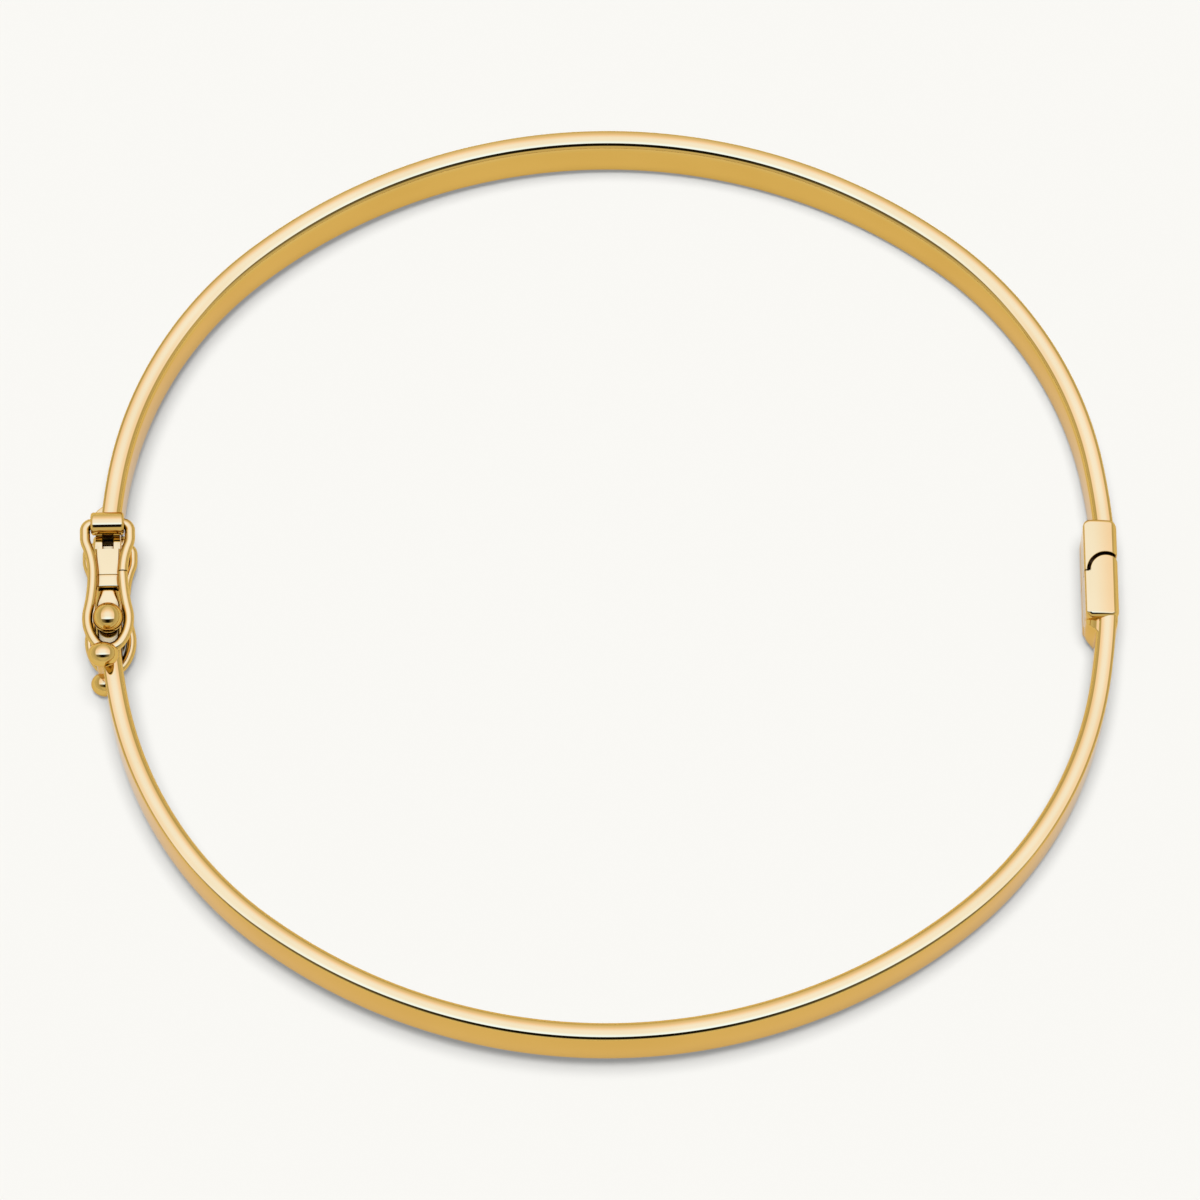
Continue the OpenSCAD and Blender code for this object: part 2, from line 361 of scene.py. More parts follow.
@dataclass(frozen=True)
class Section:
    """A rounded rectangle whose four sides are crowned, all of tangent arcs.

    Each side is an arc of a large radius about a centre on the axis, and each edge an arc of a
    small radius that touches both its sides from inside. The two edges on the -x side may have
    a radius of their own, and the tops of the z sides may lie off the middle.
    """

    half_x: float
    half_z: float
    edge: float
    crown_x: float = 60.0
    crown_z: float = 60.0
    side_steps: int = 8
    edge_steps: int = 8
    low_edge: float | None = None
    top_x: float = 0.0

    def quarter(self, reach: float, edge: float) -> np.ndarray:
        """Points from the middle of the +x side to the top of the +z side.

        The edge's centre is where two circles meet: one about the +z side's centre and one
        about the +x side's, each of the side's radius less the edge's. A point at turn t lies
        on the arc that faces t, at its centre plus its radius in that direction.

        Args:
            reach: Distance from the top of the z side to the x side.
            edge: Radius of the edge between them.

        Returns:
            An array of x and z, one row a point, with x from the top of the z side.
        """
        side_centre = reach - self.crown_x
        rim_centre = self.half_z - self.crown_z
        side_r = self.crown_x - edge
        rim_r = self.crown_z - edge
        apart = math.hypot(side_centre, rim_centre)
        along = (side_r**2 - rim_r**2 + apart**2) / (2 * apart)
        off = math.sqrt(side_r**2 - along**2)
        towards_x = -side_centre / apart
        towards_z = rim_centre / apart
        edge_x = side_centre + along * towards_x - off * towards_z
        edge_z = along * towards_z + off * towards_x
        side_end = math.asin(edge_z / side_r)
        rim_start = math.pi / 2 - math.asin(edge_x / rim_r)
        turns = spread(
            (0.0, 0),
            (side_end, self.side_steps),
            (rim_start, self.edge_steps),
            (math.pi / 2, self.side_steps),
        )
        on_side = turns <= side_end
        on_rim = turns >= rim_start
        centre_x = np.where(on_side, side_centre, np.where(on_rim, 0.0, edge_x))
        centre_z = np.where(on_side, 0.0, np.where(on_rim, rim_centre, edge_z))
        radius = np.where(on_side, self.crown_x, np.where(on_rim, self.crown_z, edge))
        x = centre_x + radius * np.cos(turns)
        return np.column_stack([x, centre_z + radius * np.sin(turns)])

    def points(self) -> np.ndarray:
        """Points round the section, counter-clockwise from the middle of the +x side.

        Returns:
            An array of x and z, one row a point.
        """
        low_edge = self.edge if self.low_edge is None else self.low_edge
        high = self.quarter(self.half_x - self.top_x, self.edge)
        low = self.quarter(self.half_x + self.top_x, low_edge)
        half = np.vstack([high, low[-2::-1] * [-1, 1]]) + [self.top_x, 0]
        return np.vstack([half, half[-2:0:-1] * [1, -1]])


@dataclass
class Shell:
    """A closed surface of quads and triangles."""

    points: np.ndarray
    quads: np.ndarray
    triangles: np.ndarray

    @classmethod
    def stack(cls, rings: np.ndarray) -> "Shell":
        """Joins rings of points one after the other.

        Quad (i, j) has corners j and j + 1 of rings i and i + 1, and the last point of a ring
        is next to its first. The two ends are closed by fans about their own middles.

        Args:
            rings: Array of rings by points by coordinates.

        Returns:
            The shell, with its faces outwards.
        """
        count, around = rings.shape[:2]
        index = np.arange(count * around).reshape(count, around)
        ahead = np.roll(index, -1, axis=1)
        quads = np.stack([index[:-1], ahead[:-1], ahead[1:], index[1:]], axis=-1).reshape(-1, 4)
        first = count * around
        low_fan = np.stack([ahead[0], index[0], np.full(around, first)], axis=-1)
        high_fan = np.stack([index[-1], ahead[-1], np.full(around, first + 1)], axis=-1)
        middles = rings[[0, -1]].mean(axis=1)
        points = np.vstack([rings.reshape(-1, 3), middles])
        return cls(points, quads, np.vstack([low_fan, high_fan])).outwards()

    @classmethod
    def capped(cls, rings: np.ndarray, rows: int, columns: int) -> "Shell":
        """Joins rings and closes both ends with grids whose borders are the end rings.

        A ring runs along column 0, the last row, the last column backwards and row 0 backwards.
        Inside a grid, row i goes from its point in column 0 to that in the last, column j at
        the share (1 - cos t) / 2, with t even from 0 to pi.

        Args:
            rings: Array of rings by points by coordinates.
            rows: Rows of a grid.
            columns: Columns of a grid.

        Returns:
            The shell, with its faces outwards.
        """
        count, around = rings.shape[:2]
        index = np.arange(count * around).reshape(count, around)
        ahead = np.roll(index, -1, axis=1)
        sides = np.stack([index[:-1], ahead[:-1], ahead[1:], index[1:]], axis=-1)
        down = np.arange(rows)
        between = np.arange(1, columns - 1)
        row = np.concatenate([down, between * 0 + rows - 1, down[::-1], between * 0])
        column = np.concatenate([down * 0, between, down * 0 + columns - 1, between[::-1]])
        share = slowed(columns)[None, :, None]
        points = [rings.reshape(-1, 3)]
        quads = [sides.reshape(-1, 4)]
        for end, order in ((0, [0, 3, 2, 1]), (-1, [0, 1, 2, 3])):
            grid = np.zeros((rows, columns, 3))
            grid[row, column] = rings[end]
            inside = (grid[:, :1] * (1 - share) + grid[:, -1:] * share)[1:-1, 1:-1]
            number = np.zeros((rows, columns), int)
            first = sum(len(part) for part in points)
            number[1:-1, 1:-1] = first + np.arange(inside[..., 0].size).reshape(inside.shape[:2])
            number[row, column] = index[end]
            corners = [number[:-1, :-1], number[1:, :-1], number[1:, 1:], number[:-1, 1:]]
            points.append(inside.reshape(-1, 3))
            quads.append(np.stack(corners, axis=-1).reshape(-1, 4)[:, order])
        return cls(np.vstack(points), np.vstack(quads), np.zeros((0, 3), int)).outwards()

    def outwards(self) -> "Shell":
        """Turns the faces over if they point inwards, told by the sign of the volume."""
        corners = np.vstack([self.quads[:, [0, 1, 2]], self.quads[:, [0, 2, 3]], self.triangles])
        a, b, c = (self.points[corners[:, place]] for place in range(3))
        if np.einsum("ij,ij->", a, np.cross(b, c)) > 0:
            return self
        return Shell(self.points, self.quads[:, ::-1], self.triangles[:, ::-1])

    def mirrored(self, axis: int) -> "Shell":
        """The shell's mirror image across the plane at 0 on an axis."""
        flip = np.ones(3)
        flip[axis] = -1
        return self.reshaped(self.points * flip).outwards()

    def on(self, rim: Rim) -> "Shell":
        """The shell as it stands on a rim, where it is drawn for the upper one."""
        return self if rim is Rim.TOP else self.mirrored(AXIS_Z)

    def reshaped(self, points: np.ndarray) -> "Shell":
        """The same faces on other points."""
        return Shell(points, self.quads, self.triangles)

    @staticmethod
    def joined(shells: Sequence["Shell"]) -> "Shell":
        """Several shells as one, each still closed by itself."""
        starts = np.cumsum([0] + [len(shell.points) for shell in shells])
        return Shell(
            np.vstack([shell.points for shell in shells]),
            np.vstack([shell.quads + start for shell, start in zip(shells, starts)]),
            np.vstack([shell.triangles + start for shell, start in zip(shells, starts)]),
        )


@dataclass(frozen=True)
class Rest:
    """Where the closed bangle lies in the frame."""

    turn: np.ndarray
    place: np.ndarray

    @classmethod
    def from_joints(cls, joints: Sequence[Mapping[str, Any]], pin_x: float) -> "Rest":
        """Reads the pose from the axis of the hinge and that of the upper safety loop.

        Args:
            joints: The frame's joints.
            pin_x: Distance of the hinge pin from the band's middle, in millimetres.

        Returns:
            The pose.
        """
        by_name = {joint["name"]: joint for joint in joints}
        up = unit(by_name["hinge"]["axis"])
        along = -unit(by_name["loop_top_pivot"]["axis"])
        turn = np.column_stack([along, np.cross(up, along), up])
        place = np.asarray(by_name["hinge"]["pos_m"]) / MM - turn @ [pin_x, 0, 0]
        return cls(turn, place)

    def lay(self, points: np.ndarray) -> np.ndarray:
        """Points of the band's plane in millimetres, as points of the frame in metres."""
        return (points @ self.turn.T + self.place) * MM


def added(name: str, data: bpy.types.ID) -> bpy.types.Object:
    """A new object in the scene."""
    made = bpy.data.objects.new(name, data)
    bpy.context.scene.collection.objects.link(made)
    return made


@dataclass
class Workbench:
    """Makes finished pieces out of shells."""

    rest: Rest

    def piece(
        self,
        name: str,
        shells: Sequence[Shell],
        body: str,
        nodes: Sequence[str],
        finish: Gold = POLISHED,
        sharp_deg: float = 50.0,
    ) -> None:
        """Makes one object, lays it down and lets it ride on its body.

        Args:
            name: The piece's name.
            shells: Its closed surfaces, in the plane of the band.
            body: The body that it moves with.
            nodes: The nodes of the frame that it stands for.
            finish: Its gold.
            sharp_deg: Turn between two faces past which their edge is sharp.
        """
        shell = Shell.joined(shells)
        mesh = bpy.data.meshes.new(name)
        faces = shell.quads.tolist() + shell.triangles.tolist()
        mesh.from_pydata(self.rest.lay(shell.points).tolist(), [], faces)
        mesh.validate()
        mesh.shade_smooth()
        mesh.set_sharp_from_angle(angle=math.radians(sharp_deg))
        mesh.materials.append(finish.material())
        made = added(name, mesh)
        made.visible_diffuse = False
        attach(made, body)
        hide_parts(*nodes)
        LOG.info("%s: %d faces on %s", name, len(faces), body)


# The band


@dataclass(frozen=True)
class Oval:
    """The bangle's oval, of three tangent arcs in each quarter."""

    half_length: float = 31.4
    side_radius: float = 41.0
    side_end: float = math.radians(10.0)
    corner_radius: float = 24.0
    corner_end: float = math.radians(52.5)

    def outer(self, turns: np.ndarray) -> np.ndarray:
        """Points of the outer outline above the hinge line, by the direction that they face.

        The side arc's centre lies on the hinge line. The corner arc touches it at its end, and
        the long arc, whose centre is on the other axis, touches the corner arc.

        Args:
            turns: Directions from +X, in radians between 0 and pi.

        Returns:
            An array of x and y.
        """
        side_x = self.half_length - self.side_radius
        step = self.side_radius - self.corner_radius
        corner_x = side_x + step * math.cos(self.side_end)
        corner_y = step * math.sin(self.side_end)
        long_radius = self.corner_radius + corner_x / math.cos(self.corner_end)
        long_y = corner_y - (long_radius - self.corner_radius) * math.sin(self.corner_end)
        lean = np.minimum(turns, np.pi - turns)
        hand = np.where(turns > np.pi / 2, -1.0, 1.0)
        arcs = [lean < self.side_end, lean < self.corner_end]
        centre_x = np.select(arcs, [side_x, corner_x], 0.0)
        centre_y = np.select(arcs, [0.0, corner_y], long_y)
        radius = np.select(arcs, [self.side_radius, self.corner_radius], long_radius)
        x = hand * (centre_x + radius * np.cos(lean))
        return np.column_stack([x, centre_y + radius * np.sin(lean)])

    def sag(self, y: float) -> float:
        """How far the side arc has curved in at a distance from the hinge line."""
        return math.sqrt(self.side_radius**2 - y**2) - self.side_radius


@dataclass(frozen=True)
class Band:
    """The hollow band: a flat tube with crowned rims, bent round the oval."""

    oval: Oval = field(default_factory=Oval)
    width: float = 4.5
    thickness: float = 1.25
    outer_edge: float = 0.155
    inner_edge: float = 0.48
    rim_crown: float = 0.9
    rim_top: float = 0.08
    wall_crown: float = 80.0
    step_deg: float = 0.5

    @property
    def rim_z(self) -> float:
        """Height of the rims above the middle plane."""
        return self.width / 2

    def section(self) -> Section:
        """The tube's outer section, whose rims are highest a little outside the middle."""
        return Section(
            self.thickness / 2,
            self.rim_z,
            self.outer_edge,
            self.wall_crown,
            self.rim_crown,
            low_edge=self.inner_edge,
            top_x=self.rim_top,
        )

    def half(self, side: Half, hinge_start: float, clasp_start: float) -> Shell:
        """The tube of one half.

        A ring at direction t is the section, set across the oval: its x goes along t from the
        middle of the band's thickness, and its z stays z.

        Args:
            side: Which half.
            hinge_start: Distance from the hinge line at which it starts at the hinge.
            clasp_start: Distance from the hinge line at which it ends at the clasp.

        Returns:
            The tube, closed at both ends.
        """
        first = math.asin(hinge_start / self.oval.side_radius)
        last = math.pi - math.asin(clasp_start / self.oval.side_radius)
        steps = round(math.degrees(last - first) / self.step_deg)
        turns = np.linspace(first, last, steps + 1)
        facing = circle(turns)
        middle = self.oval.outer(turns) - facing * self.thickness / 2
        section = self.section().points()
        plan = middle[:, None, :] + facing[:, None, :] * section[None, :, :1]
        height = np.broadcast_to(section[None, :, 1:], plan.shape[:2] + (1,))
        rings = np.concatenate([plan, height], axis=-1)
        return Shell.stack(rings * [1, side.value, 1])


# The hinge


@dataclass(frozen=True)
class Hinge:
    """The hinge's two blocks, in three layers: one's knuckle stands in a hollow of the other's."""

    band: Band
    inside: float = 1.4
    outside: float = 0.68
    overhang: float = 0.05
    lengths: Mapping[Half, float] = field(default_factory=lambda: {Half.UPPER: 3.3, Half.LOWER: 3.0})
    faces: Mapping[Half, float] = field(default_factory=lambda: {Half.UPPER: 0.05, Half.LOWER: 0.0})
    step: float = 0.25
    end_edges: Mapping[Half, float] = field(default_factory=lambda: {Half.UPPER: 0.2, Half.LOWER: 0.42})
    knuckle_r: float = 1.03
    gap: float = 0.2
    layer: float = 0.75
    layer_gap: float = 0.06
    inner_edge: float = 0.14
    outer_edge: float = 0.34
    joint_edge: float = 0.05
    corner: float = 0.45
    crown_r: float = 5.0
    crown_top: float = -1.15
    tip: float = 0.1
    rows: int = 180
    columns: int = 26
    corner_points: int = 12
    easing_rounds: int = 3
    lower_rings: int = 4
    upper_rings: int = 10
    steepest: float = 0.97
    # The lower block's shoulder
    shoulder: float = 1.0
    shoulder_root: float = 0.6
    shoulder_tail: float = 0.3
    shoulder_drop: float = 0.1
    shoulder_edge: float = 0.2
    shoulder_side: float = 30.0
    shoulder_crown: float = 1.4
    block_inset: float = 0.03
    band_inset: float = 0.02

    @property
    def pin_x(self) -> float:
        """Distance of the pin from the middle of the bangle."""
        return self.band.oval.half_length + self.overhang - self.outside

    @property
    def top(self) -> float:
        """Height of the block's face above the middle plane."""
        return self.band.rim_z + self.step

    def outline(self, side: Half, joint: Joint) -> tuple[np.ndarray, np.ndarray]:
        """Plan of one layer of a block about the pin, as if it lay above the hinge line.

        It runs up the outer side, round the far end and down the inner side to the face, then
        across the face and along the arc about the pin, and back across the tip between arc
        and outer side. The order is that of a capped shell, and each point is averaged a few
        times with its neighbours, which eases the corners.

        Args:
            side: Which half's block.
            joint: How the layer meets the pin.

        Returns:
            The points, and the radius of the upper edge at each.
        """
        face = self.faces[side]
        hand = -1 if joint is Joint.KNUCKLE else 1
        radius = self.knuckle_r if joint is Joint.KNUCKLE else self.knuckle_r + self.gap
        reach = math.sqrt(radius**2 - self.outside**2)
        first = hand * math.pi - math.asin(face / radius)
        last = hand * (math.atan2(reach, self.outside) + self.tip / radius)
        turns = np.linspace(first, last, self.rows)
        arc = radius * circle(turns)
        turn = self.corner * circle(quarter_turn(self.corner_points))
        centre_y = self.lengths[side] - self.corner
        sides = np.vstack([
            [[self.outside, hand * reach + self.tip]],
            turn + [self.outside - self.corner, centre_y],
            turn[::-1] * [-1, 1] + [self.corner - self.inside, centre_y],
            [[-self.inside, face]],
        ])
        sides = at_runs(sides, np.linspace(0, run_along(sides)[-1], self.rows))
        share = slowed(self.columns)[1:-1, None]
        across = sides[-1] * (1 - share) + arc[0] * share
        back = arc[-1] * (1 - share) + sides[0] * share
        plan = np.vstack([sides, across, arc, back])
        at_end = smooth(sides[:, 1], centre_y, self.lengths[side])
        rounded = np.full(len(plan), self.joint_edge)
        rounded[:self.rows] += (self.end_edges[side] - self.joint_edge) * at_end
        for _ in range(self.easing_rounds):
            plan = (np.roll(plan, 1, axis=0) + 2 * plan + np.roll(plan, -1, axis=0)) / 4
        return plan, rounded

    def layer_shell(self, side: Half, joint: Joint, low: float, high: float, crowned: bool) -> Shell:
        """One layer of a block, between two heights.

        Rings run round the lower edge, up the side and round the upper edge. On the upper edge a
        ring is set in by r(1 - cos t) and down by r(1 - sin t), and on the lower edge in by
        r(1 - sin t) and up by r(1 - cos t). A crowned layer falls off across its upper face by
        the square of the distance from the face's top line, and rounds off towards both its
        sides by r(1 - cos t).

        Args:
            side: Which half's block.
            joint: How the layer meets the pin.
            low: Height of its lower face.
            high: Height of its upper face.
            crowned: Whether the upper face is the block's own, with round edges and a crown.

        Returns:
            The layer.
        """
        plan, rounded = self.outline(side, joint)
        ahead = np.roll(plan, -1, axis=0) - np.roll(plan, 1, axis=0)
        out = np.column_stack([ahead[:, 1], -ahead[:, 0]])
        out /= np.linalg.norm(out, axis=1, keepdims=True)
        low_edge = np.full(len(plan), self.joint_edge / 2)
        edge = rounded if crowned else low_edge
        rings = []
        for turn in quarter_turn(self.lower_rings):
            ring = plan - out * (low_edge * (1 - math.sin(turn)))[:, None]
            rings.append(np.column_stack([ring, low + low_edge * (1 - math.cos(turn))]))
        for turn in quarter_turn(self.upper_rings):
            ring = plan - out * (edge * (1 - math.cos(turn)))[:, None]
            rings.append(np.column_stack([ring, high - edge * (1 - math.sin(turn))]))
        shell = Shell.capped(np.array(rings), self.rows, self.columns)
        x, y, z = shell.points.T
        if crowned:
            fall = np.maximum(x - self.crown_top, 0.0) ** 2 / (2 * self.crown_r)
            outer = (self.outer_edge, x - self.outside)
            inner = (self.inner_edge, -self.inside - x)
            for radius, past in (outer, inner):
                share = np.clip(past / radius + 1, 0.0, self.steepest)
                fall = fall + radius * (1 - np.sqrt(1 - share**2))
            z = z - fall * (z > (low + high) / 2)
        shell = shell.reshaped(np.column_stack([x + self.pin_x, y, z]))
        return shell if side is Half.UPPER else shell.mirrored(AXIS_Y)

    def shoulder_shell(self) -> Shell:
        """Shoulder that narrows from the lower block's sides to the band's.

        Rings along y are a round-topped section just below the rim, widened at the block and
        moved from the block's middle to the band's.

        Returns:
            The shoulder.
        """
        length = self.lengths[Half.LOWER]
        half = self.band.thickness / 2 - self.band_inset
        block_half = (self.inside + self.outside) / 2 - self.block_inset
        block_x = self.pin_x + (self.outside - self.inside) / 2
        end = self.shoulder + self.shoulder_tail
        stations = spread((-self.shoulder_root, 0), (0.0, 3), (self.shoulder, 20), (end, 2))
        rings = []
        for y in stations:
            part = smooth(y, 0.0, self.shoulder)
            half_x = block_half + (half - block_half) * part
            half_z = self.band.rim_z - self.shoulder_drop
            band_x = self.band.oval.half_length + self.band.oval.sag(y + length) - half
            apart = (band_x - block_x) * (1 - part)
            section = Section(
                half_x,
                half_z,
                self.shoulder_edge,
                self.shoulder_side,
                self.shoulder_crown,
                top_x=apart,
            )
            xz = section.points()
            x = xz[:, 0] + band_x - apart
            rings.append(np.column_stack([x, np.full(len(xz), -y - length), xz[:, 1]]))
        return Shell.stack(np.array(rings))

    def build(self, bench: Workbench) -> None:
        """Makes the two blocks.

        Args:
            bench: Where pieces are made.
        """
        for side in Half:
            outer = Joint.SOCKET if side is Half.UPPER else Joint.KNUCKLE
            inner = Joint.KNUCKLE if side is Half.UPPER else Joint.SOCKET
            slack = self.layer_gap * (side is Half.LOWER)
            cheek = self.layer_shell(side, outer, self.layer + slack, self.top, True)
            core = self.layer_shell(side, inner, -self.layer - slack, self.layer + slack, False)
            shells = [cheek, cheek.mirrored(AXIS_Z), core]
            if side is Half.LOWER:
                shells.append(self.shoulder_shell())
            bench.piece(f"hinge_block_{side.name.lower()}", shells, side.body, [side.body])


# The clasp


@dataclass(frozen=True)
class Clasp:
    """The box end with its barrels, the tongue's end with its balls, and the tongue."""

    band: Band
    thickness: float = 1.56
    overhang: float = 0.05
    drop: float = 0.15
    edge: float = 0.12
    side_crown: float = 60.0
    top_crown: float = 6.0
    box_length: float = 4.95
    tongue_end_length: float = 4.4
    joint_gap: float = 0.12
    # The box end's face, slot, plates and troughs
    face_edge: float = 0.2
    face_ease: float = 0.3
    face_rings: int = 8
    slot_half: tuple[float, float] = (0.45, 1.45)
    slot_edge: float = 0.1
    slot_depth: float = 2.2
    mouth_rise: float = 0.04
    mouth_edge: float = 0.12
    mouth_depth: float = 0.06
    line_y: float = 0.9
    line_reach: float = 0.04
    line_wide: float = 0.02
    line_deep: float = 0.025
    trough: tuple[float, float] = (2.58, 3.5)
    trough_slopes: tuple[float, float] = (0.03, 0.05)
    trough_z: float = 1.75
    trough_clear: float = 0.1
    keyhole_half: float = 0.33
    keyhole_slope: float = 0.03
    keyhole_step: tuple[float, float] = (0.32, 0.4)
    keyhole_deep: tuple[float, float] = (0.25, 1.0)
    # Where either end narrows to the band
    end_rings: int = 5
    end_length: float = 0.5
    end_inset: float = 0.01
    end_drop: float = 0.02
    end_crown: float = 20.0
    # The tongue's end
    inner_faces: tuple[float, float] = (0.1, 0.6)
    inner_face_edge: float = 0.06
    tongue_face: float = 0.12
    tongue_face_rings: int = 6
    tongue_ease: float = 0.5
    long_edges: tuple[float, float, float] = (0.62, 0.15, 0.25)
    long_edge_y: tuple[float, float] = (1.1, 2.0)
    # Barrels and balls, and the wire that turns in a barrel
    pivot_y: float = 4.06
    wire_r: float = 0.32
    wire_rise: float = 0.04
    barrel_r: float = 0.71
    barrel_half: float = 1.03
    barrel_round: float = 0.2
    barrel_flat: float = 0.4
    barrel_rings: int = 8
    barrel_sides: int = 48
    bore_r: float = 0.37
    bore_lip: tuple[float, float] = (0.02, 0.04)
    bore_deep: float = 0.3
    ball_half: tuple[float, float, float] = (0.93, 0.95, 0.9)
    ball_y: float = -2.05
    ball_rise: float = 0.55
    # The tongue
    tongue_half: tuple[float, float] = (0.3, 1.3)
    tongue_reach: float = 2.0
    tongue_root: float = 1.4
    tongue_tip: float = 0.3
    tongue_least: float = 0.4
    tongue_edge: float = 0.08
    sharp_deg: float = 38.0

    @property
    def x(self) -> float:
        """Middle of the clasp across the band."""
        return self.band.thickness / 2 - self.band.oval.half_length + self.overhang

    @property
    def top(self) -> float:
        """Height of the clasp's faces above the middle plane."""
        return self.band.rim_z - self.drop

    @property
    def loop_z(self) -> float:
        """Height of the safety loop's pivot above the middle plane."""
        return self.top + self.wire_r + self.wire_rise

    def ring(self, y: float, section: Section, blend: float = 0.0) -> np.ndarray:
        """The section set across the clasp at a distance from the joint.

        Args:
            y: The distance.
            section: The section.
            blend: How far its middle has moved from the clasp's to the band's, 0 to 1.

        Returns:
            Points of the ring.
        """
        xz = section.points()
        band_x = self.band.thickness / 2 - self.band.oval.half_length - self.band.oval.sag(y)
        x = xz[:, 0] + self.x + (band_x - self.x) * blend
        return np.column_stack([x, np.full(len(xz), y), xz[:, 1]])

    def section(self, inset: float, edge: float, **steps: int) -> Section:
        """The clasp's own section, set in all round, with edges of the given radius."""
        half_x = self.thickness / 2 - inset
        return Section(half_x, self.top - inset, edge, self.side_crown, self.top_crown, **steps)

    def to_band(self, length: float, hand: int, **steps: int) -> list[np.ndarray]:
        """Rings that narrow from an end of the clasp to the band.

        Args:
            length: Distance of the end from the joint.
            hand: 1 for the box end and -1 for the tongue's.
            steps: Steps of the sections' sides and edges.

        Returns:
            The rings, from the clasp outwards.
        """
        half = self.thickness / 2
        rings = []
        for share in np.linspace(0, 1, self.end_rings + 1)[1:]:
            part = smooth(share, 0.0, 1.0)
            half_x = half + (self.band.thickness / 2 - half - self.end_inset) * part
            half_z = self.top - self.end_drop * part
            section = Section(half_x, half_z, self.edge, self.end_crown, self.top_crown, **steps)
            rings.append(self.ring(hand * (length + self.end_length * share), section, part))
        return rings

    def box_end(self) -> Shell:
        """The box end: a lofted bar with a slot in its face and a trough behind each plate.

        From the floor of the slot the rings run out to the face, round its edge and along the
        bar to the band. A ring's height is cut off at the trough's floor, and lower still in
        the keyhole at its middle.

        Returns:
            The box end.
        """
        steps = {"side_steps": 18, "edge_steps": 8}
        start = self.joint_gap / 2
        slot = Section(*self.slot_half, self.slot_edge, **steps)
        rings = [self.ring(y, slot) for y in (self.slot_depth, start + self.mouth_depth)]
        mouth_half = (half + self.mouth_rise for half in self.slot_half)
        rings.append(self.ring(start, Section(*mouth_half, self.mouth_edge, **steps)))
        for turn in quarter_turn(self.face_rings):
            inset = self.face_edge * (1 - math.sin(turn))
            section = self.section(inset, self.edge - inset * self.face_ease, **steps)
            rings.append(self.ring(start + self.face_edge * (1 - math.cos(turn)), section))
        plate = self.section(0.0, self.edge, **steps)
        low, high = self.trough
        low_slope, high_slope = self.trough_slopes
        step_low, step_high = (low + reach for reach in self.keyhole_step)
        shallow, deepest = self.keyhole_deep
        stations = spread(
            (start + self.face_edge, 0),
            (self.line_y - self.line_reach, 4),
            (self.line_y, 3),
            (self.line_y + self.line_reach, 3),
            (low - low_slope, 10),
            (low + low_slope, 6),
            (step_low, 6),
            (step_high, 4),
            (high - high_slope, 6),
            (high + high_slope, 6),
            (self.box_length, 6),
        )
        for y in stations[1:]:
            ring = self.ring(y, plate)
            x = np.abs(ring[:, 0] - self.x) - self.keyhole_half
            opening = smooth(y, low - low_slope, low + low_slope)
            in_trough = opening * (1 - smooth(y, high - high_slope, high + high_slope))
            in_keyhole = in_trough * (1 - smooth(x, -self.keyhole_slope, self.keyhole_slope))
            deep = shallow + (deepest - shallow) * smooth(y, step_low, step_high)
            clear = self.top + self.trough_clear
            floor = clear - (clear - self.trough_z) * in_trough - in_keyhole * deep
            line = self.line_deep * math.exp(-(((y - self.line_y) / self.line_wide) ** 2))
            ring[:, 2] = np.sign(ring[:, 2]) * np.minimum(np.abs(ring[:, 2]), floor)
            ring[:, 2] *= 1 - line / self.top
            rings.append(ring)
        return Shell.stack(np.array(rings + self.to_band(self.box_length, 1, **steps)))

    def tongue_end(self) -> Shell:
        """The tongue's end: a lofted bar whose long edges are rounder towards the joint.

        Returns:
            The bar.
        """
        half = self.thickness / 2
        steps = {"side_steps": 10, "edge_steps": 12}
        start = self.joint_gap / 2
        at_joint, sharpest, at_end = self.long_edges
        near, far = self.long_edge_y
        rings = []
        for share in self.inner_faces:
            size = (half * share, self.top * share, self.inner_face_edge)
            section = Section(*size, self.side_crown, self.side_crown, **steps)
            rings.append(self.ring(-start, section))
        for turn in quarter_turn(self.tongue_face_rings):
            inset = self.tongue_face * (1 - math.sin(turn))
            section = self.section(inset, at_joint - inset * self.tongue_ease, **steps)
            rings.append(self.ring(-start - self.tongue_face * (1 - math.cos(turn)), section))
        stations = spread((start + self.tongue_face, 0), (near, 12), (self.tongue_end_length, 16))
        for y in stations[1:]:
            edge = at_joint + (sharpest - at_joint) * smooth(y, start, near)
            edge = edge + (at_end - sharpest) * smooth(y, near, far)
            rings.append(self.ring(-y, self.section(0.0, edge, **steps)))
        return Shell.stack(np.array(rings + self.to_band(self.tongue_end_length, -1, **steps)))

    def barrel(self) -> Shell:
        """The barrel on the upper rim: a profile turned about the pivot's axis.

        Returns:
            The barrel, with a hollow mouth at each end.
        """
        bend = quarter_turn(self.barrel_rings)
        edge_x = self.barrel_half - self.barrel_round + self.barrel_round * np.sin(bend)
        edge_r = self.barrel_r - self.barrel_round + self.barrel_round * np.cos(bend)
        lip_x, lip_r = self.bore_lip
        mouth_x = [self.barrel_half, self.barrel_half - lip_x, self.barrel_half - self.bore_deep]
        mouth_r = [self.bore_r + lip_r, self.bore_r, self.bore_r]
        right_x = np.concatenate([[self.barrel_flat], edge_x, mouth_x])
        right_r = np.concatenate([[self.barrel_r], edge_r, mouth_r])
        along = np.concatenate([-right_x[::-1], right_x])
        radius = np.concatenate([right_r[::-1], right_r])
        centre = np.array([self.x, self.pivot_y, self.loop_z])
        return turned(along, radius, self.barrel_sides, centre)

    def ball(self) -> Shell:
        """The ball on the upper rim of the tongue's end."""
        centre = np.array([self.x, self.ball_y, self.top + self.ball_rise])
        return sphere(self.ball_half, centre)

